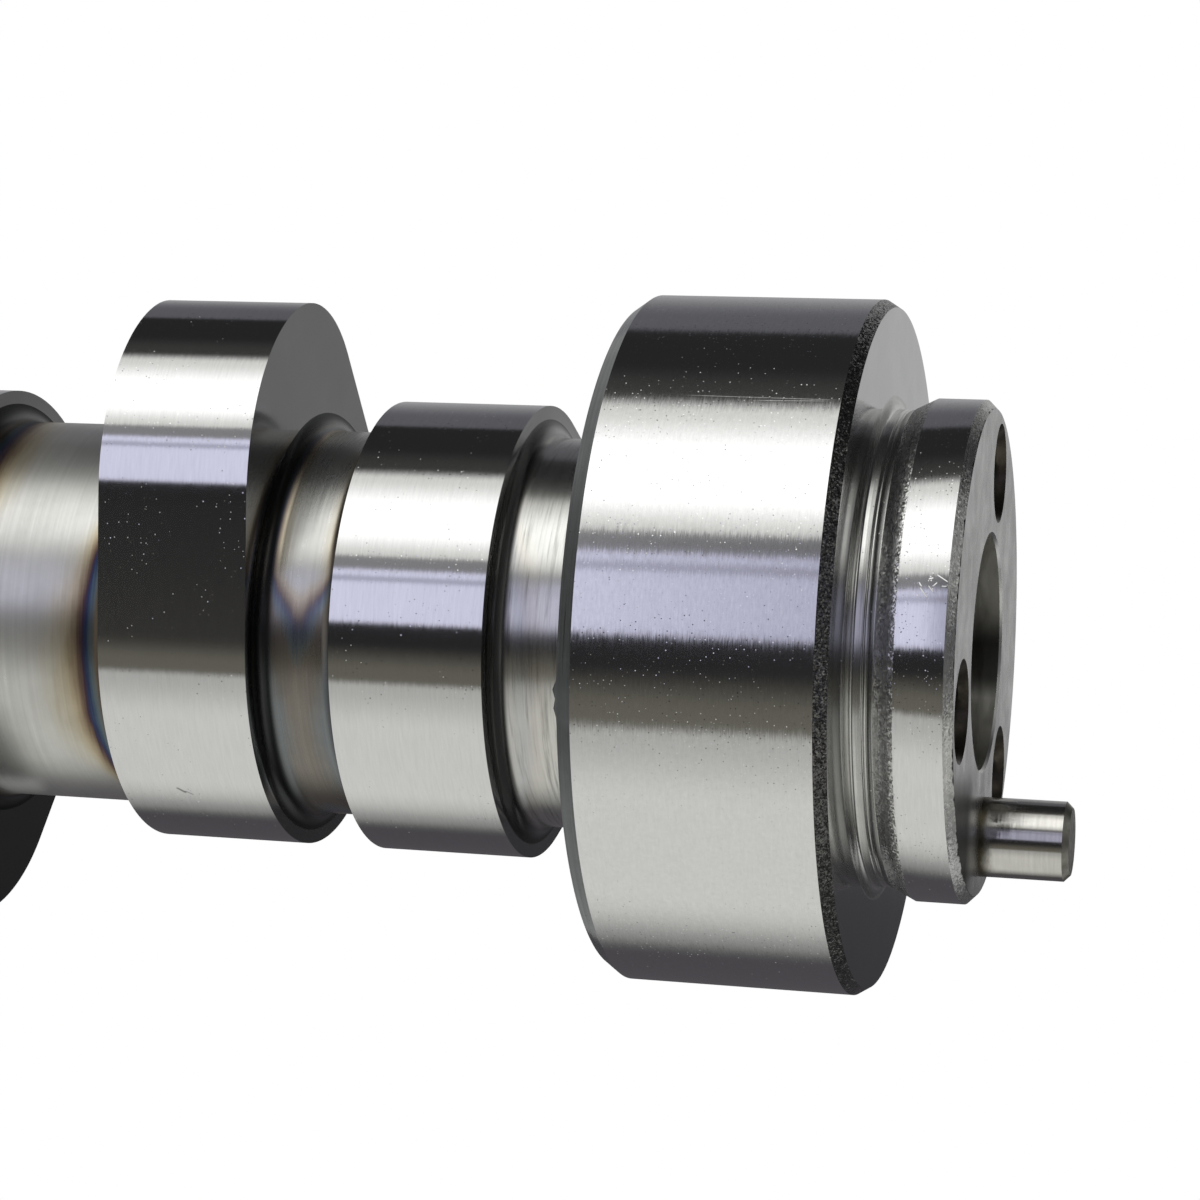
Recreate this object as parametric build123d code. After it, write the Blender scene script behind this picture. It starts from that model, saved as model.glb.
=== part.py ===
from build123d import *
import math
import os

# Camshaft of a V8 engine that carries it in the block. It stands on its rear end.
# Sizes are in millimetres. +Z runs along the axis to the nose, +X goes through the dowel pin,
# and the origin is the centre of the rear face.

# Bearing journals
journal_radius = 27.5
journal_length = 20.0
journal_count = 5
cylinder_pitch = 111.76
journal_front_chamfer_length = 0.95
journal_front_chamfer_depth = 0.6
journal_rear_chamfer_length = 1.2
journal_rear_chamfer_depth = 0.85

# Necks between the lobes and the journals
neck_radius = 15.8
neck_fillet = 1.5

# Nose in front of the first journal
nose_radius = 19.85
nose_length = 4.4
nose_chamfer = 0.7
relief_length = 3.55
relief_radius = 18.9
relief_fillet = 1.05
relief_taper_length = 1.6
relief_step = 0.15

# Cam lobes
lobe_base_radius = 18.4
lobe_width = 12.25
intake_lift = 8.2
exhaust_lift = 8.4
opening_nose_radius = 12.0
closing_nose_radius = 15.5
first_lobe_gap = 8.15
bank_stagger = 19.05
tappet_pitch = 46.8
lobe_separation = 110.0
bank_angle = 90.0
firing_order = [1, 8, 7, 2, 6, 5, 4, 3]
cam_timing_angle = 19.0

# Drillings in the nose face
pilot_radius = 9.3
pilot_depth = 32.0
bore_chamfer = 0.5
core_radius = 8.0
bolt_count = 3
bolt_circle_radius = 14.7
bolt_start_angle = 35.7
tapping_radius = 3.4
tapping_chamfer = 0.45
tapping_depth = 20.0
drill_point_half_angle = 59.0

# Dowel pin
pin_radius = 3.175
pin_circle_radius = 15.0
pin_stand_out = 7.0
pin_seat_depth = 12.0
pin_end_chamfer = 0.5
pin_seat_radius = 3.0
pin_mouth_chamfer = 0.4

# Heights that follow from the sizes above
journal_span = (journal_count - 1) * cylinder_pitch + journal_length
nose_back = journal_span + relief_length
shaft_length = nose_back + nose_length
flare_radius = neck_radius + neck_fillet


def journal_rear(index):
    """Height of the rear face of a journal, counted from the nose."""
    return (journal_count - 1 - index) * cylinder_pitch


def lobes():
    """Rear height, lift and nose angle of every lobe, from the nose to the rear."""
    found = []
    for bay in range(journal_count - 1):
        first_rear = journal_rear(bay) - first_lobe_gap - lobe_width
        for bank in range(2):
            cylinder = 2 * bay + bank + 1
            cam_angle = firing_order.index(cylinder) * 360 / len(firing_order)
            event = cam_timing_angle + bank * bank_angle + cam_angle
            # one bank carries its intake lobe in front, the other its exhaust lobe
            for row in range(2):
                is_intake = row == bank
                rear = first_rear - bank * bank_stagger - row * tappet_pitch
                side = 1 if is_intake else -1
                lift = intake_lift if is_intake else exhaust_lift
                found.append((rear, lift, event + side * lobe_separation / 2))
    return found


def shaft_profile():
    """Half section of the turned shaft, without its lobes, as closed wire edges."""
    # from the bottom up, every body that stands proud of the neck: rear, front and whether it is a journal
    bodies = [(rear, rear + lobe_width, False) for rear, lift, angle in lobes()]
    bodies += [(journal_rear(i), journal_rear(i) + journal_length, True) for i in range(journal_count)]
    bodies.sort()
    edges = []
    here = (0, 0)

    def line_to(radius, height):
        nonlocal here
        if (radius, height) != here:
            edges.append(Line(here, (radius, height)))
            here = (radius, height)

    def arc_to(radius, height, centre):
        nonlocal here
        middle = Vector(*here) + Vector(radius, height) - Vector(*centre) * 2
        middle = Vector(*centre) + middle.normalized() * neck_fillet
        edges.append(ThreePointArc(here, middle, (radius, height)))
        here = (radius, height)

    last_front = None
    for rear, front, is_journal in bodies:
        if last_front is not None:
            arc_to(neck_radius, last_front + neck_fillet, (flare_radius, last_front + neck_fillet))
            line_to(neck_radius, rear - neck_fillet)
            arc_to(flare_radius, rear, (flare_radius, rear - neck_fillet))
        if is_journal:
            line_to(journal_radius - journal_rear_chamfer_depth, rear)
            line_to(journal_radius, rear + journal_rear_chamfer_length)
            line_to(journal_radius, front - journal_front_chamfer_length)
            line_to(journal_radius - journal_front_chamfer_depth, front)
            if front < journal_span:
                line_to(flare_radius, front)
        else:
            line_to(flare_radius, front)
        last_front = front

    # relief and nose
    line_to(relief_radius + relief_fillet, journal_span)
    centre = Vector(relief_radius + relief_fillet, journal_span + relief_fillet)
    middle = centre + Vector(-1, -1).normalized() * relief_fillet
    foot = (relief_radius, journal_span + relief_fillet)
    edges.append(ThreePointArc(here, middle, foot))
    here = foot
    line_to(relief_radius, nose_back - relief_taper_length)
    line_to(relief_radius + relief_step, nose_back - relief_taper_length)
    line_to(nose_radius, nose_back)
    line_to(nose_radius, shaft_length - nose_chamfer)
    line_to(nose_radius - nose_chamfer, shaft_length)
    line_to(0, shaft_length)
    line_to(0, 0)
    return edges


def lobe_face(lift):
    """Outline of one lobe about the origin, with its nose on +X and its fuller, closing flank on +Y."""
    tip = Vector(lobe_base_radius + lift, 0)

    def half(nose_radius, side):
        # arc over the nose, then the straight flank that is tangent to the base circle
        centre = tip - Vector(nose_radius, 0)
        turn = math.degrees(math.acos((lobe_base_radius - nose_radius) / centre.X))
        outward = Vector(1, 0).rotate(Axis.Z, side * turn)
        over = Vector(1, 0).rotate(Axis.Z, side * turn / 2)
        flank_top = centre + outward * nose_radius
        flank_foot = outward * lobe_base_radius
        arc = ThreePointArc(tip, centre + over * nose_radius, flank_top)
        return arc, Line(flank_top, flank_foot), flank_foot

    closing_arc, closing_flank, closing_foot = half(closing_nose_radius, 1)
    opening_arc, opening_flank, opening_foot = half(opening_nose_radius, -1)
    heel = ThreePointArc(closing_foot, (-lobe_base_radius, 0), opening_foot)
    return make_face([closing_arc, closing_flank, heel, opening_flank, opening_arc])


def make_lobes():
    outlines = {lift: lobe_face(lift) for lift in (intake_lift, exhaust_lift)}
    return [
        Pos(0, 0, rear) * Rot(0, 0, angle) * extrude(outlines[lift], lobe_width)
        for rear, lift, angle in lobes()
    ]


def tapped_hole():
    """Cutter for one drilled hole, its mouth on the XY plane, with a countersink and a drill point."""
    point = tapping_radius / math.tan(math.radians(drill_point_half_angle))
    mouth = tapping_radius + tapping_chamfer
    outline = Polyline(
        (0, 0), (mouth, 0), (tapping_radius, -tapping_chamfer),
        (tapping_radius, -tapping_depth), (0, -tapping_depth - point), close=True,
    )
    return revolve(Plane.XZ * make_face(outline), Axis.Z)


def through_bore():
    """Cutter for the bore along the whole shaft: a wider pilot in the nose, then a drilled core."""
    pilot_end = shaft_length - pilot_depth
    step = (pilot_radius - core_radius) / math.tan(math.radians(drill_point_half_angle))
    outline = Polyline(
        (0, 0), (core_radius + bore_chamfer, 0), (core_radius, bore_chamfer),
        (core_radius, pilot_end - step), (pilot_radius, pilot_end),
        (pilot_radius, shaft_length - bore_chamfer), (pilot_radius + bore_chamfer, shaft_length),
        (0, shaft_length), close=True,
    )
    return revolve(Plane.XZ * make_face(outline), Axis.Z)


def pin_hole():
    """Cutter for the pin's seat, its chamfered mouth on the XY plane."""
    outline = Polyline(
        (0, 0), (pin_seat_radius + pin_mouth_chamfer, 0), (pin_seat_radius, -pin_mouth_chamfer),
        (pin_seat_radius, -pin_seat_depth), (0, -pin_seat_depth), close=True,
    )
    return revolve(Plane.XZ * make_face(outline), Axis.Z)


def make_camshaft():
    turned = revolve(Plane.XZ * make_face(shaft_profile()), Axis.Z)
    body = turned + make_lobes()
    nose_face = Pos(0, 0, shaft_length)
    spots = PolarLocations(bolt_circle_radius, bolt_count, bolt_start_angle)
    holes = [nose_face * spot * tapped_hole() for spot in spots]
    return body - through_bore() - holes - nose_face * Pos(pin_circle_radius, 0, 0) * pin_hole()


def make_dowel_pin():
    low = shaft_length - pin_seat_depth
    high = shaft_length + pin_stand_out
    outline = Polyline(
        (0, low), (pin_seat_radius - pin_end_chamfer, low), (pin_seat_radius, low + pin_end_chamfer),
        (pin_seat_radius, shaft_length - pin_mouth_chamfer), (pin_radius, shaft_length),
        (pin_radius, high - pin_end_chamfer), (pin_radius - pin_end_chamfer, high), (0, high), close=True,
    )
    return Pos(pin_circle_radius, 0, 0) * revolve(Plane.XZ * make_face(outline), Axis.Z)


os.makedirs("parts", exist_ok=True)
export_step(make_camshaft(), "parts/camshaft.step")
export_step(make_dowel_pin(), "parts/dowel_pin.step")
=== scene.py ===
import math

import bpy
import numpy as np
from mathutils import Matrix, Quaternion, Vector


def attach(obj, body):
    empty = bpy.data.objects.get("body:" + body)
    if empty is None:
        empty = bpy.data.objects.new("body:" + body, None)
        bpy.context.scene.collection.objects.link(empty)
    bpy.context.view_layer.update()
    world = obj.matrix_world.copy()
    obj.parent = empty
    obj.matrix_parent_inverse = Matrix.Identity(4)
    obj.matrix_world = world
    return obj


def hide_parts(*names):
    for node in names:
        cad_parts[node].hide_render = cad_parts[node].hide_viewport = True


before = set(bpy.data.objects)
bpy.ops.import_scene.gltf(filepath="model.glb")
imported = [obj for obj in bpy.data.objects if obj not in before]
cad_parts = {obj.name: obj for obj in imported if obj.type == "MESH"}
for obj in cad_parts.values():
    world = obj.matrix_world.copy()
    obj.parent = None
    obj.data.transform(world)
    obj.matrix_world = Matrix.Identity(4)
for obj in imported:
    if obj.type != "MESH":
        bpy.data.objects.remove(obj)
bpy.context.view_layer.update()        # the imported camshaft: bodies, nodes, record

mm = 0.001
touching = 0.01          # millimetres: places that are nearer than this are one place

# Directions seen by the camera: towards it, and up in the picture. The shaft's axis runs across the picture
towardAngle = math.radians(258)
toward = Vector((math.cos(towardAngle), math.sin(towardAngle), 0))
upward = Vector((math.cos(towardAngle - math.pi / 2), math.sin(towardAngle - math.pi / 2), 0))


# nodes

def addNode(tree, kind, feeds=None, **settings):
    made = tree.nodes.new("ShaderNode" + kind)
    for name, value in settings.items():
        setattr(made, name, value)
    for socket, value in (feeds or {}).items():
        if isinstance(value, bpy.types.NodeSocket):
            tree.links.new(value, made.inputs[socket])
        else:
            made.inputs[socket].default_value = value
    return made


def calc(tree, operation, first, second=0.0, third=0.0):
    return addNode(tree, "Math", {0: first, 1: second, 2: third}, operation=operation).outputs[0]


def product(tree, first, *others):
    for other in others:
        first = calc(tree, "MULTIPLY", first, other)
    return first


def vectorCalc(tree, operation, first, second=None, scale=None, output="Vector"):
    feeds = {0: first}
    if second is not None:
        feeds[1] = second
    if scale is not None:
        feeds["Scale"] = scale
    return addNode(tree, "VectorMath", feeds, operation=operation).outputs[output]


# how far a place lies along a direction
def alongside(tree, place, direction):
    return vectorCalc(tree, "DOT_PRODUCT", place, direction, output="Value")


def lengthOf(tree, vector):
    return vectorCalc(tree, "LENGTH", vector, output="Value")


def axesOf(tree, vector):
    return addNode(tree, "SeparateXYZ", {0: vector}).outputs


def attributeOf(tree, name):
    return addNode(tree, "Attribute", attribute_name=name).outputs["Fac"]


def inDegrees(tree, value):
    return product(tree, value, 180 / math.pi)


def inMillimetres(tree, value):
    return calc(tree, "DIVIDE", value, mm)


# smooth step from start to end, while the value goes from low to high
def rise(tree, value, low, high, start=0.0, end=1.0):
    made = addNode(
        tree, "MapRange",
        {"Value": value, "From Min": low, "From Max": high, "To Min": start, "To Max": end},
        interpolation_type="SMOOTHSTEP",
    )
    return made.outputs[0]


def fall(tree, value, low, high):
    return rise(tree, value, low, high, 1, 0)


# a socket stays as it is, a number is a grey, and three numbers are a colour
def asColour(value):
    if isinstance(value, bpy.types.NodeSocket):
        return value
    return (*value, 1) if isinstance(value, tuple) else (value, value, value, 1)


def mixColour(tree, amount, first, second, blend="MIX"):
    feeds = {0: amount, 6: asColour(first), 7: asColour(second)}
    return addNode(tree, "Mix", feeds, data_type="RGBA", blend_type=blend).outputs[2]


# light

# Softboxes and flags stand round the shaft. from and to are degrees round it, from the camera towards the
# picture's top, and soft is how many degrees the edges take there. near is a panel's level as the nose end
# sees it, where that differs from the level that the far end sees
studioPanels = {
    "backWall": {"from": 184, "to": 122, "soft": (10, 4), "level": (0.13, 0.13, 0.145)},
    "backWallFar": {"from": 178, "to": 150, "soft": (6, 34), "level": (0.35, 0.35, 0.36)},
    "keySpill": {"from": 95, "to": 84, "soft": (12, 4), "level": (0.05, 0.05, 0.048)},
    "keyWing": {"from": 82.5, "to": 33.5, "soft": (7, 4), "level": (0.88, 0.88, 0.85)},
    "keyCore": {"from": 70, "to": 41, "soft": (18, 13), "level": (1.6, 1.6, 1.58)},
    "greyLine": {
        "from": 33.5, "to": 27, "soft": (2, 2), "level": (0.27, 0.27, 0.28), "near": (0.17, 0.17, 0.18),
    },
    "violetPanel": {
        "from": 27.2, "to": 0.3, "soft": (2.4, 3), "level": (0.86, 0.86, 1.07), "near": (0.53, 0.53, 0.69),
    },
    "violetSeam": {
        "from": 23.8, "to": 21, "soft": (2, 2), "level": (0.48, 0.49, 0.62), "near": (0.32, 0.32, 0.40),
    },
    "brownGap": {"from": -16.5, "to": -31, "soft": (15, 2), "level": (0.15, 0.143, 0.118)},
    "lowBoxEdge": {"from": -29.8, "to": -119, "soft": (4, 38), "level": (0.53, 0.53, 0.51)},
    "lowBox": {"from": -43, "to": -104, "soft": (24, 22), "level": (0.765, 0.765, 0.735)},
    "floorGlow": {"from": -124, "to": -175, "soft": (14, 20), "level": (0.085, 0.08, 0.088)},
}
turnSeam = -130                  # degrees round the shaft where the count starts anew, in the dark below it
nearToFar = (-7, -18.5)          # degrees up between which the nose end's view turns into the far end's
# degrees up between which the boxes come on and go off, and the share of them that is left at the floor
boxHeights = {"floor": -82, "low": -50, "high": 0, "ceiling": 26, "floorShare": 0.3}
# The lit wall behind and the lamps over it. Each fades in between two heights and out between two others.
# start and end are the turns over which its edges fade, and lean is how far those move per degree of height
backPanels = {
    "wallTop": {
        "start": (136.5, 139.5), "end": (183.5, 186.5), "fadeIn": (0, 8), "fadeOut": (22, 32),
        "lean": 0.25, "level": 0.20,
    },
    "wall": {
        "start": (136.5, 139.5), "end": (184.4, 186.4), "fadeIn": (-8, 0), "fadeOut": (8, 16.5),
        "lean": 0.25, "level": 0.56,
    },
    "lowLamp": {
        "start": (192, 226), "end": (231, 232), "fadeIn": (16, 28), "fadeOut": (60, 70),
        "lean": 0, "level": 0.75,
    },
    "highLamp": {
        "start": (100, 118), "end": (231, 232), "fadeIn": (46, 58), "fadeOut": (69, 77),
        "lean": 0, "level": 0.80,
    },
}
# What the boxes still give from high up, on the key's side and on the low box's side. edge is the turns over
# which each side comes in
overheadGlow = {
    "key": {"from": 44, "to": 72, "share": 0.9, "edge": (0, 20)},
    "low": {"from": 28, "to": 55, "share": 1.0, "edge": (20, 0)},
}
zenith = {"from": 62, "to": 78, "level": 0.06}       # the dark straight above
darkRoom = (0.024, 0.024, 0.025)
white = (1, 1, 1, 1)


# the panels all round, at full height
def hangPanels(tree, turn, wrapped, climb):
    far = rise(tree, climb, *nearToFar)
    colour = darkRoom
    for panel in studioPanels.values():
        start, end = panel["from"], panel["to"]
        angle = turn if min(start, end) < turnSeam else wrapped
        softHigh, softLow = panel["soft"]
        below = fall(tree, angle, start - softHigh / 2, start + softHigh / 2)
        above = rise(tree, angle, end - softLow / 2, end + softLow / 2)
        level = mixColour(tree, far, panel["near"], panel["level"]) if "near" in panel else panel["level"]
        colour = mixColour(tree, product(tree, below, above), colour, level)
    return colour


def hangWorld():
    world = bpy.data.worlds.new("studioWorld")
    bpy.context.scene.world = world
    world.use_nodes = True
    tree = world.node_tree
    tree.nodes.clear()
    aim = addNode(tree, "TexCoord").outputs["Generated"]
    near, high = alongside(tree, aim, toward), alongside(tree, aim, upward)
    turn = inDegrees(tree, calc(tree, "ARCTAN2", high, near))
    wrapped = calc(tree, "WRAP", turn, turnSeam + 360, turnSeam)
    climb = inDegrees(tree, calc(tree, "ARCSINE", axesOf(tree, aim)[2]))
    boxes = hangPanels(tree, turn, wrapped, climb)
    shine = product(
        tree,
        rise(tree, climb, boxHeights["floor"], boxHeights["low"], boxHeights["floorShare"], 1),
        fall(tree, climb, boxHeights["high"], boxHeights["ceiling"]),
    )
    colour = mixColour(tree, shine, darkRoom, boxes)
    for glow in overheadGlow.values():
        glowing = mixColour(tree, glow["share"], 0, boxes)
        mask = product(tree, rise(tree, climb, glow["from"], glow["to"]), rise(tree, wrapped, *glow["edge"]))
        colour = mixColour(tree, mask, colour, glowing)
    colour = mixColour(tree, rise(tree, climb, zenith["from"], zenith["to"]), colour, zenith["level"])
    for panel in backPanels.values():
        leaning = calc(tree, "MULTIPLY_ADD", climb, panel["lean"], wrapped)
        mask = product(
            tree,
            rise(tree, climb, *panel["fadeIn"]), fall(tree, climb, *panel["fadeOut"]),
            rise(tree, leaning, *panel["start"]), fall(tree, leaning, *panel["end"]),
        )
        colour = mixColour(tree, mask, colour, panel["level"])
    ray = addNode(tree, "LightPath").outputs["Is Camera Ray"]
    studio = addNode(tree, "Background", {"Color": colour, "Strength": 1.0})
    paper = addNode(tree, "Background", {"Color": white, "Strength": 1.0})
    mixed = addNode(tree, "MixShader", {0: ray, 1: studio.outputs[0], 2: paper.outputs[0]})
    addNode(tree, "OutputWorld", {"Surface": mixed.outputs[0]})


floorLook = {
    "radius": 0.8, "sides": 128, "drop": 0.2 * mm,
    "fade": (0.25, 0.6),         # metres from the shaft between which the floor fades to white
    "tone": 0.8, "lift": 0.45,   # the paper's tone, and how much it is lifted for the camera
    # painted reflection: the steel sees a share of that lift as a glowing floor, from some way off the shaft's
    # foot, so the foot stays dark in reflections
    "seen": (0.10, 0.30), "seenShare": 0.5,
}


def layFloor():
    bpy.ops.mesh.primitive_circle_add(
        vertices=floorLook["sides"], radius=floorLook["radius"], fill_type="NGON",
        location=(0, 0, -floorLook["drop"]),
    )
    floor = bpy.context.object
    floor.name = "floor"
    material = bpy.data.materials.new("floorPaper")
    material.use_nodes = True
    tree = material.node_tree
    tree.nodes.clear()
    away = lengthOf(tree, addNode(tree, "TexCoord").outputs["Object"])
    path = addNode(tree, "LightPath")
    ray = path.outputs["Is Camera Ray"]
    seen = product(tree, rise(tree, away, *floorLook["seen"]), floorLook["seenShare"])
    # painted reflection: the floor glows for glossy rays, away from the shaft's foot
    paintedReflectionGlow = product(tree, path.outputs["Is Glossy Ray"], seen)
    lift = product(tree, calc(tree, "MAXIMUM", ray, paintedReflectionGlow), floorLook["lift"])
    paper = addNode(tree, "BsdfDiffuse", {"Color": asColour(floorLook["tone"])})
    glow = addNode(tree, "Emission", {"Color": white, "Strength": lift})
    lit = addNode(tree, "AddShader", {0: paper.outputs[0], 1: glow.outputs[0]})
    faded = addNode(tree, "Emission", {"Color": white, "Strength": 1.0})
    fade = product(tree, rise(tree, away, *floorLook["fade"]), ray)
    mixed = addNode(tree, "MixShader", {0: fade, 1: lit.outputs[0], 2: faded.outputs[0]})
    addNode(tree, "OutputMaterial", {"Surface": mixed.outputs[0]})
    floor.data.materials.append(material)


hangWorld()
layFloor()
print("world and floor are set")


# camera

view = {
    "away": 245.297 * mm, "height": 505.007 * mm, "aimHeight": 443.39 * mm, "aimUp": 2.782 * mm,
    "roll": 2.522, "lens": 93.42, "sensor": 36, "clip": (0.01, 20),
}


def setCamera():
    place = toward * view["away"] + Vector((0, 0, view["height"]))
    target = upward * view["aimUp"] + Vector((0, 0, view["aimHeight"]))
    bpy.ops.object.camera_add(location=place)
    camera = bpy.context.object
    camera.name = "photoCamera"
    camera.data.lens = view["lens"]
    camera.data.sensor_width = view["sensor"]
    camera.data.clip_start, camera.data.clip_end = view["clip"]
    turn = (target - place).to_track_quat("-Z", "X")   # the picture's right side is the shaft's nose end
    camera.rotation_mode = "QUATERNION"
    camera.rotation_quaternion = turn @ Quaternion((0, 0, 1), math.radians(view["roll"]))
    bpy.context.scene.camera = camera
    return camera


camera = setCamera()
bpy.context.view_layer.update()
cameraAxes = camera.matrix_world.to_3x3().transposed()
print("camera axes", [tuple(round(x, 5) for x in axis) for axis in cameraAxes])


# finishes

# what every finish has in common
grain = {
    "tipRun": 1.3, "tipCount": 0.8,          # hair lines that tip it along the shaft, against the others
    "streakRun": 0.7, "streakCount": 0.5,    # streaks of tone, against the hair lines
    "blotchShare": 0.4,                      # of blotches in the tone, where a finish doesn't say
    "contrast": (0.3, 0.7),                  # noise that becomes the dark and the light tone
    "pitFloor": 0.5, "scarcePits": 0.1,      # share of a pit that is deep, and of pits between the clumps
    "scratchEnd": 0.6, "scratchSide": (0.3, 0.7),      # where a scratch thins out, as shares of its size
}


# noise drawn out by a different scale on each axis, in marks per metre
def stretchedNoise(tree, place, scale, detail=3.0, rough=0.6):
    spot = addNode(tree, "Mapping", {"Vector": place, "Scale": scale}, vector_type="POINT").outputs[0]
    feeds = {"Vector": spot, "Scale": 1.0, "Detail": detail, "Roughness": rough}
    return addNode(tree, "TexNoise", feeds).outputs["Fac"]


def centred(tree, value):
    return calc(tree, "SUBTRACT", value, 0.5)


# random cells: distance to the nearest centre, and a random direction for the cell
def cells(tree, place, scale):
    made = addNode(tree, "TexVoronoi", {"Vector": place, "Scale": scale})
    aimed = vectorCalc(tree, "SUBTRACT", made.outputs["Color"], (0.5, 0.5, 0.5))
    return made.outputs["Distance"], aimed


def tipped(tree, normal, direction, amount):
    return vectorCalc(tree, "ADD", normal, vectorCalc(tree, "SCALE", direction, scale=amount))


# every tilt of the surface: hair lines round the shaft, rings on flat faces, pits, grit and single scratches
def worn(tree, place, look):
    flat = vectorCalc(tree, "MULTIPLY", place, (1, 1, 0))
    outward = vectorCalc(tree, "NORMALIZE", flat)
    tangent = vectorCalc(tree, "CROSS_PRODUCT", (0, 0, 1), outward)
    hair = look["hair"]
    around = stretchedNoise(tree, place, (hair["run"], hair["run"], hair["count"]))
    run, count = hair["run"] * grain["tipRun"], hair["count"] * grain["tipCount"]
    along = stretchedNoise(tree, place, (run, run, count), detail=4.0)
    normal = addNode(tree, "NewGeometry").outputs["Normal"]
    normal = tipped(tree, normal, tangent, product(tree, centred(tree, around), hair["turn"]))
    normal = tipped(tree, normal, (0, 0, 1), product(tree, centred(tree, along), hair["tip"]))
    if "rings" in look:
        feeds = {"W": lengthOf(tree, flat), "Scale": look["rings"]["count"], "Detail": 3.0}
        wave = addNode(tree, "TexNoise", feeds, noise_dimensions="1D").outputs["Fac"]
        normal = tipped(tree, normal, outward, product(tree, centred(tree, wave), look["rings"]["tilt"]))
    if "pits" in look:
        pits = look["pits"]
        gap, aimed = cells(tree, place, pits["count"])
        feeds = {"Vector": place, "Scale": pits["patch"], "Detail": 2.0}
        patchy = addNode(tree, "TexNoise", feeds).outputs["Fac"]
        inside = fall(tree, gap, pits["size"] * grain["pitFloor"], pits["size"])
        clumps = rise(tree, patchy, *pits["clump"], grain["scarcePits"], 1)
        normal = tipped(tree, normal, aimed, product(tree, inside, clumps, pits["tilt"]))
    if "grit" in look:
        gap, aimed = cells(tree, place, look["grit"]["count"])
        normal = tipped(tree, normal, aimed, look["grit"]["tilt"])
    for radius, scratches in look.get("scratches", {}).items():
        for *spot, tilt in scratches:
            normal = tipped(tree, normal, tangent, product(tree, scratched(tree, place, radius, *spot), tilt))
    return vectorCalc(tree, "NORMALIZE", normal)


# one scratch on a turned surface. at is its angle round the shaft, height, long and wide are in millimetres
def scratched(tree, place, radius, at, height, long, wide, slope):
    x, y, z = axesOf(tree, place)
    turn = calc(tree, "SUBTRACT", calc(tree, "ARCTAN2", y, x), math.radians(at))
    upwards = calc(tree, "SUBTRACT", inMillimetres(tree, z), height)
    spot = addNode(tree, "CombineXYZ", {0: upwards, 1: product(tree, turn, radius)}).outputs[0]
    feeds = {"Vector": spot, "Angle": math.radians(-slope)}
    spun = addNode(tree, "VectorRotate", feeds, rotation_type="Z_AXIS").outputs[0]
    ends, sides, rest = axesOf(tree, vectorCalc(tree, "ABSOLUTE", spun))
    innerSide, outerSide = grain["scratchSide"]
    return product(
        tree,
        fall(tree, ends, long / 2 * grain["scratchEnd"], long / 2),
        fall(tree, sides, wide * innerSide, wide * outerSide),
    )


# temper colours from the hot lobe outwards, at shares of the coloured belt's width
temper = {
    "tones": [
        (0.00, (0.12, 0.14, 0.16)), (0.13, (0.14, 0.165, 0.19)), (0.21, (0.18, 0.15, 0.12)),
        (0.37, (0.25, 0.20, 0.15)), (0.43, (0.22, 0.24, 0.24)), (0.52, (0.13, 0.19, 0.25)),
        (0.62, (0.06, 0.08, 0.18)), (0.70, (0.11, 0.07, 0.10)), (0.78, (0.26, 0.18, 0.13)),
        (0.88, (0.46, 0.36, 0.25)), (1.05, (0.74, 0.64, 0.47)), (1.35, (0.90, 0.86, 0.76)),
        (1.70, (0.96, 0.95, 0.92)), (2.20, (1.0, 1.0, 0.99)),
    ],
    "fade": 2.0,                 # how fast the heat of a lobe falls off, per width of its belt
    "coldest": 0.0001,           # keeps the logarithm finite
    "wander": {"scale": (70, 70, 330), "reach": -0.7, "start": 1.35},      # the belts' uneven edges
    "hair": {"scale": (80, 80, 5000), "reach": 0.16},
    "clean": 0.92,               # steel that took no heat
}


# The attributes heatBelow and heatAbove hold the distances from the lobes on both sides, in widths of their
# belts
def temperTint(tree, place, strength):
    edge, fade, tones = temper["wander"], temper["fade"], temper["tones"]
    wander = stretchedNoise(tree, place, edge["scale"], detail=4.0)
    hair = stretchedNoise(tree, place, temper["hair"]["scale"])
    heat = []
    for side in ("heatBelow", "heatAbove"):
        uneven = calc(tree, "MULTIPLY_ADD", wander, edge["reach"], edge["start"])
        share = product(tree, attributeOf(tree, side), uneven)
        heat.append(calc(tree, "EXPONENT", product(tree, share, -fade)))
    total = calc(tree, "MAXIMUM", calc(tree, "ADD", *heat), temper["coldest"])
    share = calc(tree, "DIVIDE", calc(tree, "LOGARITHM", total, math.e), -fade)
    share = calc(tree, "MULTIPLY_ADD", centred(tree, hair), temper["hair"]["reach"], share)
    last = tones[-1][0]
    ramp = addNode(tree, "ValToRGB", {"Fac": calc(tree, "DIVIDE", share, last)})
    stops = ramp.color_ramp.elements
    stops[0].color = asColour(tones[0][1])
    stops[1].color = asColour(tones[-1][1])
    for at, tone in tones[1:-1]:
        stops.new(at / last).color = asColour(tone)
    return mixColour(tree, strength, temper["clean"], ramp.outputs[0])


# Raw turned steel is rougher and took the heat's colours more strongly. The fillets against lobes are black
def heated(tree, place, look, colour, rough):
    raw = attributeOf(tree, "rawSteel")
    strength = calc(tree, "MULTIPLY_ADD", raw, look["rawTint"], look["tint"])
    colour = mixColour(tree, 1.0, colour, temperTint(tree, place, strength), "MULTIPLY")
    black = product(tree, rise(tree, attributeOf(tree, "besideLobe"), *look["scaleFrom"]), look["black"])
    rough = calc(tree, "MULTIPLY_ADD", raw, look["rawRough"], rough)
    return mixColour(tree, black, colour, look["scaleTone"]), rough


# darkens a covered part: real dirt for the stains, painted shade beside the pin
def darkenedByDirtAndShade(tree, cover, darkening, colour, rough):
    rough = calc(tree, "MULTIPLY_ADD", cover, darkening["rough"], rough)
    return mixColour(tree, cover, colour, darkening["tone"]), rough


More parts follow.
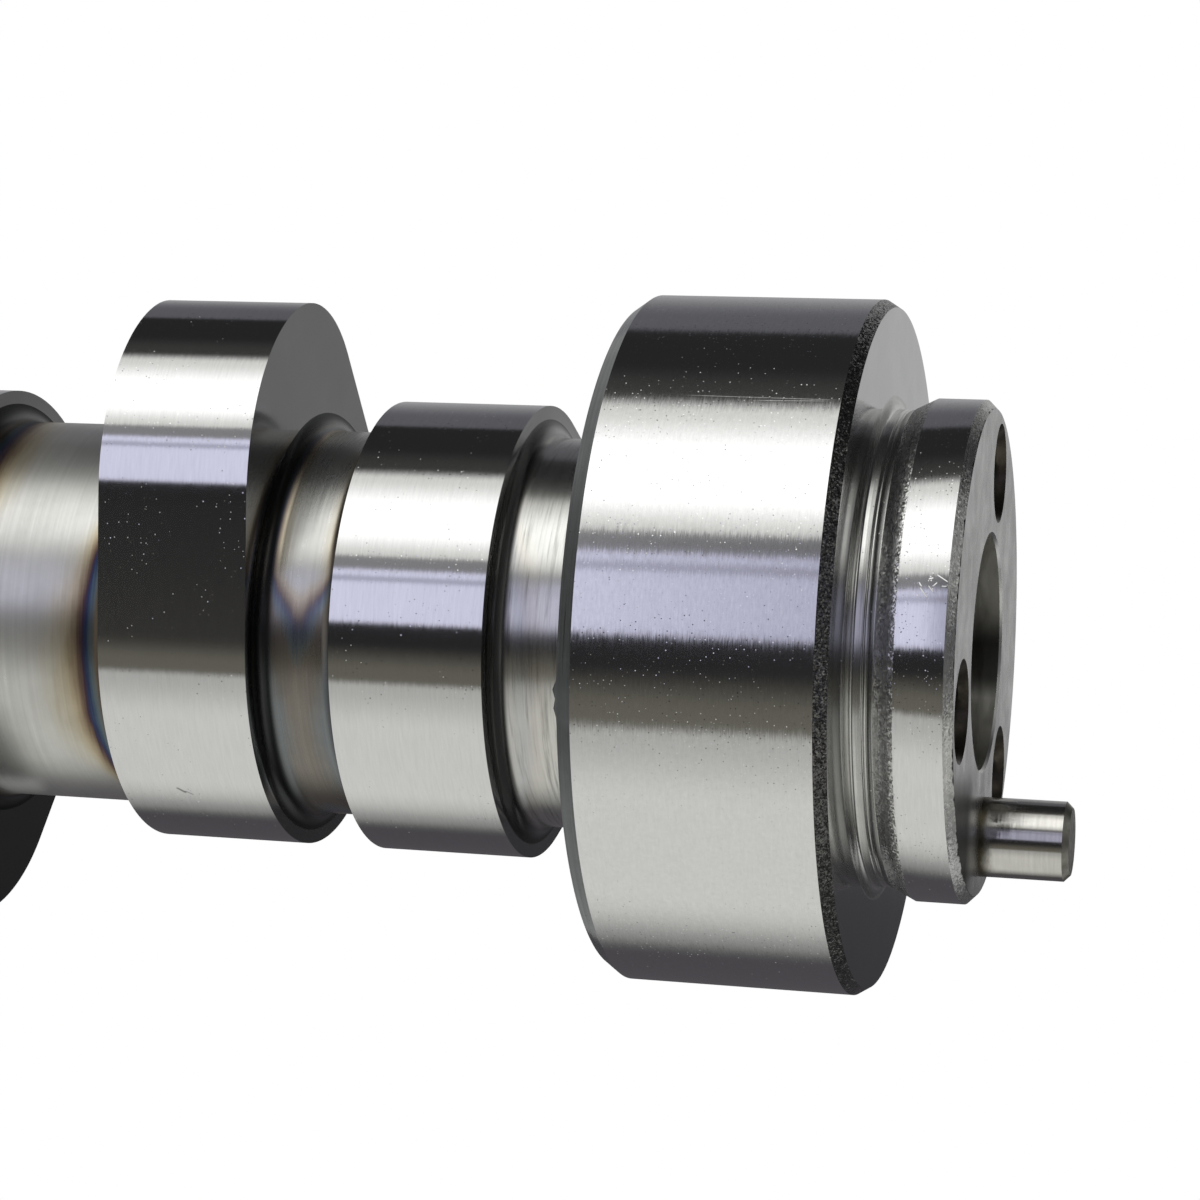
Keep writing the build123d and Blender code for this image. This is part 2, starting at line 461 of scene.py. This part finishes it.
# dirt that fades out between two heights
def stained(tree, place, stain, colour, rough):
    patchy = stretchedNoise(tree, place, stain["patch"])
    height = inMillimetres(tree, axesOf(tree, place)[2])
    height = calc(tree, "MULTIPLY_ADD", centred(tree, patchy), stain["wander"], height)
    return darkenedByDirtAndShade(tree, fall(tree, height, stain["from"], stain["to"]), stain, colour, rough)


# painted shade on the nose face, on the camera's side of the pin, darkening the pin's reflection there
def shadeBesidePin(tree, place, darkening, colour, rough):
    outwards = inMillimetres(tree, alongside(tree, place, toward))
    upwards = inMillimetres(tree, alongside(tree, place, upward))
    beside = calc(tree, "ABSOLUTE", calc(tree, "SUBTRACT", upwards, darkening["height"]))
    cover = product(tree, rise(tree, outwards, *darkening["near"]), fall(tree, beside, *darkening["half"]))
    return darkenedByDirtAndShade(tree, cover, darkening, colour, rough)


# painted shade inside the bore: a dark band across its middle, as the camera sees it, and darker below it
def shadedBore(tree, place, band, colour, rough):
    upwards = inMillimetres(tree, alongside(tree, place, upward))
    across = calc(tree, "ABSOLUTE", calc(tree, "SUBTRACT", upwards, band["middle"]))
    low = rise(tree, upwards, *band["below"], 0, band["belowShare"])
    shaded = calc(tree, "MAXIMUM", fall(tree, across, *band["half"]), low)
    return mixColour(tree, shaded, colour, band["tone"], "MULTIPLY"), rough


# dull dark smudges, drawn out round the shaft, where the steel isn't raw
def smudged(tree, place, smudges, colour, rough):
    spots = rise(tree, stretchedNoise(tree, place, smudges["scale"]), *smudges["cover"])
    spots = product(tree, spots, calc(tree, "SUBTRACT", 1, attributeOf(tree, "rawSteel")))
    return mixColour(tree, spots, colour, smudges["tone"], "MULTIPLY"), rough


markMakers = {"heated": heated, "stain": stained, "boreShadeBand": shadedBore, "paintedShadeBesidePin": shadeBesidePin, "smudges": smudged}


def steelFinish(name, look):
    material = bpy.data.materials.new(name)
    material.use_nodes = True
    tree = material.node_tree
    shader = tree.nodes["Principled BSDF"]
    shader.inputs["Metallic"].default_value = 1.0
    place = addNode(tree, "TexCoord").outputs["Object"]
    tree.links.new(worn(tree, place, look), shader.inputs["Normal"])
    blotch = stretchedNoise(tree, place, (look["blotch"],) * 3, detail=4.0)
    run, count = look["hair"]["run"] * grain["streakRun"], look["hair"]["count"] * grain["streakCount"]
    streak = stretchedNoise(tree, place, (run, run, count))
    share = look.get("blotchShare", grain["blotchShare"])
    amount = calc(tree, "MULTIPLY_ADD", streak, 1 - share, product(tree, blotch, share))
    darkest, lightest = grain["contrast"]
    feeds = {"Value": amount, "From Min": darkest, "From Max": lightest}
    amount = addNode(tree, "MapRange", feeds).outputs[0]
    colour = mixColour(tree, amount, *look["tones"])
    lowRough, highRough = look["roughness"]
    rough = calc(tree, "MULTIPLY_ADD", amount, lowRough - highRough, highRough)
    for mark, addMark in markMakers.items():
        if mark in look:
            colour, rough = addMark(tree, place, look[mark], colour, rough)
    tree.links.new(colour, shader.inputs["Base Color"])
    tree.links.new(rough, shader.inputs["Roughness"])
    return material


# Tones are the dark and the light one, and the light one has the lower roughness. Hair lines have a run round
# the shaft and a count along it, in marks per metre, and tilt the surface round the shaft (turn) and along it
# (tip). Scratches stand under their radius: angle round the shaft, height, length, width, slope and tilt
finishLooks = {
    "journalSteel": {
        "tones": (0.67, 0.75), "roughness": (0.07, 0.12), "blotch": 2600, "blotchShare": 0.55,
        "hair": {"run": 1100, "count": 12000, "turn": 0.04, "tip": 0.06},
        "pits": {"count": 3300, "size": 0.19, "patch": 260, "clump": (0.30, 0.52), "tilt": 0.46},
        "scratches": {27.5: [
            (-142.7, 460.0, 13.0, 0.06, 0.4, 0.03),
            (-142.2, 462.5, 6.0, 0.05, -1.5, 0.03),
        ]},
    },
    "lobeSteel": {
        "tones": (0.65, 0.73), "roughness": (0.06, 0.10), "blotch": 60,
        "hair": {"run": 700, "count": 11000, "turn": 0.02, "tip": 0.05},
        "pits": {"count": 2600, "size": 0.18, "patch": 240, "clump": (0.44, 0.60), "tilt": 0.42},
        "scratches": {19.0: [
            (-52.5, 412.7, 1.1, 0.22, 42, 0.14),
            (-51.6, 413.3, 0.9, 0.12, 35, 0.10),
        ]},
    },
    "noseSteel": {
        "tones": (0.65, 0.73), "roughness": (0.07, 0.12), "blotch": 80,
        "hair": {"run": 900, "count": 12000, "turn": 0.03, "tip": 0.06},
        "pits": {"count": 3800, "size": 0.21, "patch": 300, "clump": (0.32, 0.54), "tilt": 0.50},
        "scratches": {19.85: [
            (-115.8, 472.25, 0.45, 0.07, 55, -0.11),
            (-114.0, 472.55, 1.25, 0.07, 52, -0.11),
            (-114.9, 473.05, 0.75, 0.06, 50, -0.10),
            (-116.0, 473.35, 0.40, 0.07, -45, -0.11),
            (-117.3, 473.85, 1.10, 0.07, 32, -0.09),
            (-117.2, 473.00, 0.40, 0.08, -15, -0.10),
            (-115.6, 474.00, 0.45, 0.06, 0, -0.10),
            (-75.5, 472.45, 0.8, 0.07, -25, 0.2),
            (-72.9, 471.7, 0.35, 0.2, -20, 0.3),
        ]},
    },
    "turnedNeck": {
        "tones": ((0.62, 0.62, 0.60), (0.76, 0.76, 0.74)), "roughness": (0.17, 0.24),
        "blotch": 260, "blotchShare": 0.5, "hair": {"run": 30, "count": 9000, "turn": 0.03, "tip": 0.07},
        "heated": {
            "rawRough": 0.10, "tint": 0.20, "rawTint": 0.80,
            "scaleFrom": (0.10, 0.65), "black": 0.88, "scaleTone": 0.03,
        },
        "smudges": {"scale": (180, 180, 3600), "cover": (0.46, 0.86), "tone": (0.42, 0.42, 0.41)},
    },
    "lobeSide": {
        "tones": (0.52, 0.58), "roughness": (0.08, 0.13), "blotch": 150,
        "hair": {"run": 200, "count": 200, "turn": 0.01, "tip": 0.01},
        "rings": {"count": 5000, "tilt": 0.025},
    },
    "journalFace": {
        "tones": (0.44, 0.48), "roughness": (0.07, 0.11), "blotch": 300,
        "hair": {"run": 200, "count": 200, "turn": 0.01, "tip": 0.01},
        "rings": {"count": 7000, "tilt": 0.02},
    },
    "gritEdge": {
        "tones": (0.06, (0.24, 0.24, 0.23)), "roughness": (0.20, 0.30), "blotch": 1800, "blotchShare": 0.7,
        "hair": {"run": 900, "count": 2500, "turn": 0.1, "tip": 0.1}, "grit": {"count": 9000, "tilt": 0.5},
    },
    "noseEdge": {
        "tones": ((0.50, 0.50, 0.49), (0.72, 0.72, 0.70)), "roughness": (0.22, 0.32), "blotch": 1200,
        "hair": {"run": 120, "count": 9000, "turn": 0.05, "tip": 0.15}, "grit": {"count": 8000, "tilt": 0.14},
        "stain": {
            "from": 475.02, "to": 474.92, "patch": (900, 900, 900), "wander": 0.6, "tone": 0.03, "rough": 0.1,
        },
    },
    "smoothEdge": {
        "tones": ((0.19, 0.20, 0.20), (0.30, 0.31, 0.31)), "roughness": (0.12, 0.20), "blotch": 500,
        "hair": {"run": 60, "count": 9000, "turn": 0.05, "tip": 0.45},
        "pits": {"count": 1900, "size": 0.14, "patch": 400, "clump": (0.38, 0.60), "tilt": 1.0},
    },
    "reliefSteel": {
        "tones": ((0.58, 0.58, 0.56), (0.72, 0.72, 0.70)), "roughness": (0.16, 0.26), "blotch": 600,
        "hair": {"run": 70, "count": 9000, "turn": 0.04, "tip": 0.16},
        "pits": {"count": 2400, "size": 0.13, "patch": 500, "clump": (0.38, 0.60), "tilt": 0.8},
    },
    "reliefTaper": {
        "tones": ((0.62, 0.62, 0.61), (0.78, 0.78, 0.76)), "roughness": (0.22, 0.32), "blotch": 900,
        "hair": {"run": 120, "count": 8000, "turn": 0.05, "tip": 0.12}, "grit": {"count": 8000, "tilt": 0.22},
    },
    "faceSteel": {
        "tones": ((0.60, 0.60, 0.59), (0.74, 0.74, 0.73)), "roughness": (0.22, 0.32),
        "blotch": 260, "blotchShare": 0.7, "hair": {"run": 700, "count": 700, "turn": 0.05, "tip": 0.05},
        # painted shade beside the pin, on the camera's side
        "paintedShadeBesidePin": {
            "near": (2.0, 8.0), "height": -14.67, "half": (2.6, 6.2),
            "tone": (0.09, 0.09, 0.085), "rough": 0.2,
        },
    },
    "boreSteel": {
        "tones": ((0.60, 0.59, 0.52), (0.96, 0.95, 0.88)), "roughness": (0.42, 0.58), "blotch": 300,
        "hair": {"run": 130, "count": 900, "turn": 0.05, "tip": 0.6},
        # painted shade: a dark band across the bore's middle, and darker below it
        "boreShadeBand": {
            "middle": -0.6, "half": (1.2, 4.4), "below": (-2, -5), "belowShare": 0.6,
            "tone": (0.16, 0.16, 0.15),
        },
    },
    # thread walls toned near black: painted shade in the tapped holes
    "threadSteel": {
        "tones": ((0.03, 0.027, 0.022), (0.12, 0.105, 0.085)), "roughness": (0.30, 0.42), "blotch": 700,
        "hair": {"run": 900, "count": 900, "turn": 0.1, "tip": 0.1},
    },
    "pinSteel": {
        "tones": ((0.54, 0.53, 0.50), (0.64, 0.63, 0.60)), "roughness": (0.10, 0.17), "blotch": 600,
        "hair": {"run": 300, "count": 9000, "turn": 0.04, "tip": 0.08},
        "stain": {
            "from": 475.1, "to": 476.2, "patch": (500, 500, 900), "wander": 1.1,
            "tone": (0.09, 0.08, 0.055), "rough": 0.25,
        },
    },
    "pinTip": {
        "tones": ((0.22, 0.22, 0.19), (0.38, 0.37, 0.33)), "roughness": (0.30, 0.42),
        "blotch": 1500, "blotchShare": 0.7, "hair": {"run": 1500, "count": 1500, "turn": 0.1, "tip": 0.1},
    },
}
finishes = {name: steelFinish(name, look) for name, look in finishLooks.items()}
print("finishes are made:", len(finishes))


# camshaft

shaft = {
    "steps": 240, "weld": 0.004,         # faces round the shaft, and how near points are joined
    "journalRadius": 27.5, "journalLength": 20.0, "journalCount": 5, "pitch": 111.76,
    "frontChamfer": (0.95, 0.6), "rearChamfer": (1.2, 0.85),      # length along the shaft, depth
    "neckRadius": 15.8, "filletRadius": 1.5, "filletSteps": 8,
    "noseRadius": 19.85, "noseLength": 4.4, "noseChamfer": 0.7,
    "reliefLength": 3.55, "reliefRadius": 18.9, "reliefFillet": 1.05, "reliefReach": 0.5,
    "taperLength": 1.6, "step": 0.15,
    "ridges": [                # along the relief, depth
        (1.02, 0), (1.08, 0.05), (1.14, 0.02), (1.20, 0.06), (1.28, 0.01), (1.34, 0.01), (1.42, 0.07),
        (1.52, 0.02), (1.58, 0),
    ],
    # turn, and how far the first journal's rear rim is pushed out there
    "burr": [(265.5, 0.04), (267, 0.30), (268.5, 0.10), (270, 0.22), (271.5, 0.03)],
    "pilotRadius": 9.3, "pilotDepth": 32.0, "boreChamfer": 0.2, "coreRadius": 8.0, "drillAngle": 59,
}
lobe = {
    "base": 18.4, "width": 12.25, "intakeLift": 8.2, "exhaustLift": 8.4,
    "openingNose": 12.0, "closingNose": 15.5, "firstGap": 8.15, "bankStagger": 19.05, "tappetPitch": 46.8,
    "separation": 110, "bankAngle": 90, "order": [1, 8, 7, 2, 6, 5, 4, 3], "timing": 19.0,
}
# Coloured belts beside the lobes. Each reaches furthest at its hot turn, or else afterNose degrees on from
# its lobe's nose. near and wide are its widths in millimetres off that side and on it, and facing is the cosine
# from which it widens. On short necks the belts are wider and lie further round, and the steel is less raw
belts = {
    "hotTurns": [276, 200, 276], "afterNose": 87, "near": 0.8, "wide": 3.9, "facing": 0.62, "cold": 9.0,
    "shortNeck": 8, "shortGrowth": 1.6, "shortTurn": 21, "shortRaw": 0.75,
}

journalSpan = (shaft["journalCount"] - 1) * shaft["pitch"] + shaft["journalLength"]
noseBack = journalSpan + shaft["reliefLength"]
shaftLength = noseBack + shaft["noseLength"]


def journalRear(index):
    return (shaft["journalCount"] - 1 - index) * shaft["pitch"]


# rear height, lift and nose angle of every lobe
def lobePlaces():
    found = []
    for bay in range(shaft["journalCount"] - 1):
        firstRear = journalRear(bay) - lobe["firstGap"] - lobe["width"]
        for bank in range(2):
            cylinder = 2 * bay + bank + 1
            camAngle = lobe["order"].index(cylinder) * 360 / len(lobe["order"])
            event = lobe["timing"] + bank * lobe["bankAngle"] + camAngle
            for row in range(2):
                isIntake = row == bank
                rear = firstRear - bank * lobe["bankStagger"] - row * lobe["tappetPitch"]
                side = 1 if isIntake else -1
                lift = lobe["intakeLift"] if isIntake else lobe["exhaustLift"]
                found.append((rear, lift, event + side * lobe["separation"] / 2))
    return found


# rear and front height of every journal, and a mark that tells it from a lobe
def journalPlaces(mark):
    rears = [journalRear(index) for index in range(shaft["journalCount"])]
    return [(rear, rear + shaft["journalLength"], mark) for rear in rears]


# half outline of the shaft in millimetres: radius, height and the finish of the stretch that starts there
def shaftLine():
    neck, fillet, steps = shaft["neckRadius"], shaft["filletRadius"], shaft["filletSteps"]
    flare = neck + fillet
    radius = shaft["journalRadius"]
    frontLength, frontDepth = shaft["frontChamfer"]
    rearLength, rearDepth = shaft["rearChamfer"]
    angles = [math.pi / 2 * step / steps for step in range(steps + 1)]
    arc = [(math.sin(angle), math.cos(angle)) for angle in angles]
    stands = [(rear, rear + lobe["width"], False) for rear, lift, angle in lobePlaces()]
    line = [(shaft["coreRadius"] + shaft["boreChamfer"], 0, "faceSteel")]
    lastFront = None
    for rear, front, isJournal in sorted(stands + journalPlaces(True)):
        if lastFront is not None:
            # up out of the fillet of the body below, and into that of this body
            for sine, cosine in arc:
                line.append((flare - fillet * sine, lastFront + fillet * (1 - cosine), "turnedNeck"))
            line.append((neck, (lastFront + rear) / 2, "turnedNeck"))
            for sine, cosine in arc:
                line.append((flare - fillet * cosine, rear - fillet * (1 - sine), "turnedNeck"))
            line[-1] = (*line[-1][:2], "journalFace" if isJournal else "lobeSide")
        if isJournal:
            line.append((radius - rearDepth, rear, "smoothEdge"))
            line.append((radius, rear + rearLength, "journalSteel"))
            line.append((radius, front - frontLength, "gritEdge"))
            line.append((radius - frontDepth, front, "journalFace"))
        else:
            line.append((lobe["base"], rear, "lobeSteel"))
            line.append((lobe["base"], front, "lobeSide"))
        lastFront = front
    # relief behind the nose, with the ridges its tool left
    relief, bend, reach = shaft["reliefRadius"], shaft["reliefFillet"], shaft["reliefReach"]
    for sine, cosine in arc:
        line.append((relief + bend * (1 - sine), journalSpan + reach * (1 - cosine), "reliefSteel"))
    for along, depth in shaft["ridges"]:
        line.append((relief - depth, journalSpan + along, "reliefSteel"))
    taperFoot = noseBack - shaft["taperLength"]
    line.append((relief, taperFoot, "reliefSteel"))
    line.append((relief + shaft["step"], taperFoot, "reliefTaper"))
    line.append((shaft["noseRadius"], noseBack, "noseSteel"))
    line.append((shaft["noseRadius"], shaftLength - shaft["noseChamfer"], "noseEdge"))
    line.append((shaft["noseRadius"] - shaft["noseChamfer"], shaftLength, "faceSteel"))
    # pilot bore and the core behind it
    pilotEnd = shaftLength - shaft["pilotDepth"]
    pilot, core, chamfer = shaft["pilotRadius"], shaft["coreRadius"], shaft["boreChamfer"]
    line.append((pilot + chamfer, shaftLength, "faceSteel"))
    line.append((pilot, shaftLength - chamfer, "boreSteel"))
    line.append((pilot, pilotEnd, "boreSteel"))
    line.append((core, pilotEnd - (pilot - core) / math.tan(math.radians(shaft["drillAngle"])), "boreSteel"))
    line.append((core, chamfer, "faceSteel"))
    line.append((core + chamfer, 0, "faceSteel"))
    return line


# a single point, drawn on to the next and the next, in edit mode
def drawLine(name, line):
    radius, height = line[0][:2]
    bpy.ops.object.select_all(action="DESELECT")
    bpy.ops.mesh.primitive_plane_add(size=mm, location=(radius * mm, 0, height * mm))
    piece = bpy.context.object
    piece.name = piece.data.name = name
    bpy.ops.object.transform_apply(location=True)
    bpy.ops.object.mode_set(mode="EDIT")
    bpy.ops.mesh.select_all(action="SELECT")
    bpy.ops.mesh.merge(type="CENTER")
    for nextRadius, nextHeight, finish in line[1:]:
        step = ((nextRadius - radius) * mm, 0, (nextHeight - height) * mm)
        bpy.ops.mesh.extrude_vertices_move(TRANSFORM_OT_translate={"value": step})
        radius, height = nextRadius, nextHeight
    return piece


# gives every ring of faces the finish of its stretch
def paintStretches(piece, line):
    used = sorted({finish for radius, height, finish in line})
    for name in used:
        piece.data.materials.append(finishes[name])
    centres = np.empty(len(piece.data.polygons) * 3)
    piece.data.polygons.foreach_get("center", centres)
    centres = centres.reshape(-1, 3) / mm
    radii, heights = np.hypot(centres[:, 0], centres[:, 1]), centres[:, 2]
    tolerance = 0.02             # millimetres: the middle of a flat face lies a little inside its ring
    chosen = np.zeros(len(centres), dtype=np.int32)
    for (r0, h0, finish), (r1, h1, later) in zip(line, line[1:]):
        near = (abs(radii - (r0 + r1) / 2) < tolerance) & (abs(heights - (h0 + h1) / 2) < tolerance)
        chosen[near] = used.index(finish)
    piece.data.polygons.foreach_set("material_index", chosen)


# radius of a lobe at an angle from its nose: an arc over the nose, a straight flank, then the base circle
def lobeRadius(lift, off):
    nose = lobe["closingNose"] if off > 0 else lobe["openingNose"]
    centre = lobe["base"] + lift - nose
    foot = math.acos((lobe["base"] - nose) / centre)
    arcEnd = math.atan2(nose * math.sin(foot), centre + nose * math.cos(foot))
    off = abs(off)
    if off <= arcEnd:
        return centre * math.cos(off) + math.sqrt(nose ** 2 - (centre * math.sin(off)) ** 2)
    if off < foot:
        return lobe["base"] / math.cos(off - foot)
    return lobe["base"]


def raiseLobes(piece):
    places = lobePlaces()
    for vertex in piece.data.vertices:
        x, y, z = vertex.co / mm
        radius = math.hypot(x, y)
        if abs(radius - lobe["base"]) > touching:
            continue
        for rear, lift, nose in places:
            if min(abs(z - rear), abs(z - rear - lobe["width"])) < touching:
                off = (math.atan2(y, x) - math.radians(nose) + math.pi) % math.tau - math.pi
                raised = lobeRadius(lift, off) / radius
                vertex.co.x *= raised
                vertex.co.y *= raised
                break


# distance from a lobe in widths of its coloured belt. A journal has no hot turn and gives no heat
def beltShare(gap, hot, turn, growth, shift):
    if hot is None:
        return belts["cold"]
    reach = max(0, (math.cos(turn - hot - shift) - belts["facing"]) / (1 - belts["facing"]))
    width = growth * (belts["near"] + (belts["wide"] - belts["near"]) * reach)
    return min(belts["cold"], gap / width)


# For every point of a neck: its distances from the lobes below and above, in widths of their coloured belts,
# how raw the neck was left, and how close the point lies to a lobe
def markHeat(piece):
    bodies = journalPlaces(None)
    for index, (rear, lift, nose) in enumerate(lobePlaces()):
        hot = belts["hotTurns"][index] if index < len(belts["hotTurns"]) else nose + belts["afterNose"]
        bodies.append((rear, rear + lobe["width"], math.radians(hot)))
    bodies.sort(key=lambda body: body[0])
    found = []
    for vertex in piece.data.vertices:
        x, y, z = vertex.co / mm
        turn = math.atan2(y, x)
        row = (belts["cold"], belts["cold"], 0.0, 0.0)
        for (rear, low, lowHot), (high, front, highHot) in zip(bodies, bodies[1:]):
            if low - touching < z < high + touching:
                growth, shift, raw = 1, 0, 0.0
                if lowHot is not None and highHot is not None:
                    raw = 1.0
                    if high - low < belts["shortNeck"]:
                        growth, raw = belts["shortGrowth"], belts["shortRaw"]
                        shift = math.radians(belts["shortTurn"])
                gaps = [gap for gap, hot in ((z - low, lowHot), (high - z, highHot)) if hot is not None]
                row = (
                    beltShare(abs(z - low), lowHot, turn, growth, shift),
                    beltShare(abs(high - z), highHot, turn, growth, shift),
                    raw,
                    max(0.0, 1 - min(gaps) / shaft["filletRadius"]),
                )
        found.append(row)
    for name, values in zip(("heatBelow", "heatAbove", "rawSteel", "besideLobe"), zip(*found)):
        piece.data.attributes.new(name, "FLOAT", "POINT").data.foreach_set("value", values)


# the small burr that was pushed out of the first journal's rear rim
def pushBurr(piece):
    rim = shaft["journalRadius"] - shaft["rearChamfer"][1]
    sameTurn = 0.1               # degrees
    for vertex in piece.data.vertices:
        x, y, z = vertex.co / mm
        if abs(z - journalRear(0)) < touching and abs(math.hypot(x, y) - rim) < touching:
            turn = math.degrees(math.atan2(y, x)) % 360
            for at, out in shaft["burr"]:
                if abs(turn - at) < sameTurn:
                    vertex.co.z -= out * mm


thread = {
    "count": 3, "circle": 14.7, "startAngle": 35.7, "crest": 3.4, "root": 3.85, "pitch": 1.25, "depth": 20.0,
    "chamfer": 0.45, "steps": 48, "ringsPerTurn": 4,
    "above": 0.5, "tip": 0.02,   # how far the cutter stands out of the face, and its drill point's radius
    "runOut": 0.5,               # plain wall at the bottom
}


# closed cutter for one tapped hole at the origin, its mouth up, with a real spiral thread in its wall
def threadCutter():
    crest, chamfer, depth = thread["crest"], thread["chamfer"], thread["depth"]
    radius, height = crest + chamfer + thread["above"], thread["above"]
    bpy.ops.object.select_all(action="DESELECT")
    bpy.ops.mesh.primitive_circle_add(
        vertices=thread["steps"], radius=radius * mm, fill_type="NGON", location=(0, 0, height * mm),
    )
    cutter = bpy.context.object
    cutter.name = "threadCutter"
    bpy.ops.object.transform_apply(location=True)
    bpy.ops.object.mode_set(mode="EDIT")
    bpy.ops.mesh.select_all(action="SELECT")
    fine = thread["pitch"] / thread["ringsPerTurn"]
    count = int((depth - chamfer) / fine)
    rings = [(crest, -chamfer)] + [(crest, -chamfer - fine * (i + 1)) for i in range(count)]
    rings.append((thread["tip"], -depth - crest / math.tan(math.radians(shaft["drillAngle"]))))
    for nextRadius, nextHeight in rings:
        bpy.ops.mesh.extrude_region_move(TRANSFORM_OT_translate={"value": (0, 0, (nextHeight - height) * mm)})
        scale = nextRadius / radius
        bpy.ops.transform.resize(value=(scale, scale, 1), center_override=(0, 0, nextHeight * mm))
        radius, height = nextRadius, nextHeight
    bpy.ops.object.mode_set(mode="OBJECT")
    for vertex in cutter.data.vertices:
        x, y, z = vertex.co / mm
        if -depth + thread["runOut"] < z < -chamfer + touching and math.hypot(x, y) > crest / 2:
            phase = (z / thread["pitch"] - math.atan2(y, x) / math.tau) % 1
            groove = 1 - abs(2 * phase - 1)
            grown = (crest + (thread["root"] - crest) * groove) / crest
            vertex.co.x *= grown
            vertex.co.y *= grown
    bpy.ops.object.mode_set(mode="EDIT")
    bpy.ops.mesh.select_all(action="SELECT")
    bpy.ops.mesh.normals_make_consistent(inside=False)
    bpy.ops.object.mode_set(mode="OBJECT")
    cutter.data.materials.append(finishes["threadSteel"])
    return cutter


def cutWith(piece, cutter, name):
    cut = piece.modifiers.new(name, "BOOLEAN")
    cut.operation = "DIFFERENCE"
    cut.object = cutter
    cut.solver = "EXACT"
    cut.material_mode = "TRANSFER"
    bpy.context.view_layer.objects.active = piece
    bpy.ops.object.modifier_apply(modifier=name)


shading = {"sharpAngle": 28, "weight": 100}


def smoothShade(piece):
    bpy.ops.object.select_all(action="DESELECT")
    piece.select_set(True)
    bpy.context.view_layer.objects.active = piece
    bpy.ops.object.shade_smooth_by_angle(angle=math.radians(shading["sharpAngle"]))
    weigh = piece.modifiers.new("flatStaysFlat", "WEIGHTED_NORMAL")
    weigh.keep_sharp = True
    weigh.weight = shading["weight"]
    bpy.ops.object.modifier_apply(modifier=weigh.name)


def makeCamshaft():
    line = shaftLine()
    piece = drawLine("camshaftBody", line)
    bpy.ops.mesh.select_all(action="SELECT")
    bpy.ops.mesh.spin(steps=shaft["steps"], angle=math.tau, center=(0, 0, 0), axis=(0, 0, 1))
    bpy.ops.mesh.select_all(action="SELECT")
    bpy.ops.mesh.remove_doubles(threshold=shaft["weld"] * mm)
    bpy.ops.mesh.normals_make_consistent(inside=False)
    bpy.ops.object.mode_set(mode="OBJECT")
    paintStretches(piece, line)
    raiseLobes(piece)
    markHeat(piece)
    pushBurr(piece)
    print("shaft is turned:", len(piece.data.polygons), "faces")
    cutter = threadCutter()
    for index in range(thread["count"]):
        hole = cutter.copy()
        hole.data = cutter.data.copy()
        bpy.context.collection.objects.link(hole)
        angle = math.radians(thread["startAngle"] + index * 360 / thread["count"])
        x, y = thread["circle"] * math.cos(angle), thread["circle"] * math.sin(angle)
        hole.location = (x * mm, y * mm, shaftLength * mm)
        cutWith(piece, hole, "boltHole")
        bpy.data.objects.remove(hole)
    bpy.data.objects.remove(cutter)
    smoothShade(piece)
    print("shaft is drilled:", len(piece.data.polygons), "faces")
    return piece


camshaftBody = makeCamshaft()
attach(camshaftBody, "root")
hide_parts("camshaft")


# dowel pin

pin = {"radius": 3.175, "circle": 15.0, "standOut": 7.0, "seat": 0.4, "chamfer": 0.5, "sides": 96}


def makePin():
    bpy.ops.object.select_all(action="DESELECT")
    depth = pin["standOut"] + pin["seat"]
    bpy.ops.mesh.primitive_cylinder_add(
        vertices=pin["sides"], radius=pin["radius"] * mm, depth=depth * mm, end_fill_type="NGON",
        location=(pin["circle"] * mm, 0, (shaftLength - pin["seat"] + depth / 2) * mm),
    )
    piece = bpy.context.object
    piece.name = piece.data.name = "dowelPin"
    bpy.ops.object.transform_apply(location=True)
    bpy.ops.object.mode_set(mode="EDIT")
    bpy.ops.mesh.select_mode(type="EDGE")
    bpy.ops.mesh.select_all(action="DESELECT")
    bpy.ops.object.mode_set(mode="OBJECT")
    top = (shaftLength + pin["standOut"]) * mm
    for edge in piece.data.edges:
        edge.select = all(abs(piece.data.vertices[i].co.z - top) < touching * mm for i in edge.vertices)
    bpy.ops.object.mode_set(mode="EDIT")
    bpy.ops.mesh.bevel(offset=pin["chamfer"] * mm, segments=1)
    bpy.ops.object.mode_set(mode="OBJECT")
    piece.data.materials.append(finishes["pinSteel"])
    piece.data.materials.append(finishes["pinTip"])
    for face in piece.data.polygons:
        if face.center.z > top - pin["chamfer"] * mm:
            face.material_index = 1
    smoothShade(piece)
    return piece


dowelPin = makePin()
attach(dowelPin, "root")
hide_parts("dowel_pin")
print("pin is set")

bpy.context.scene.view_settings.view_transform = "Standard"
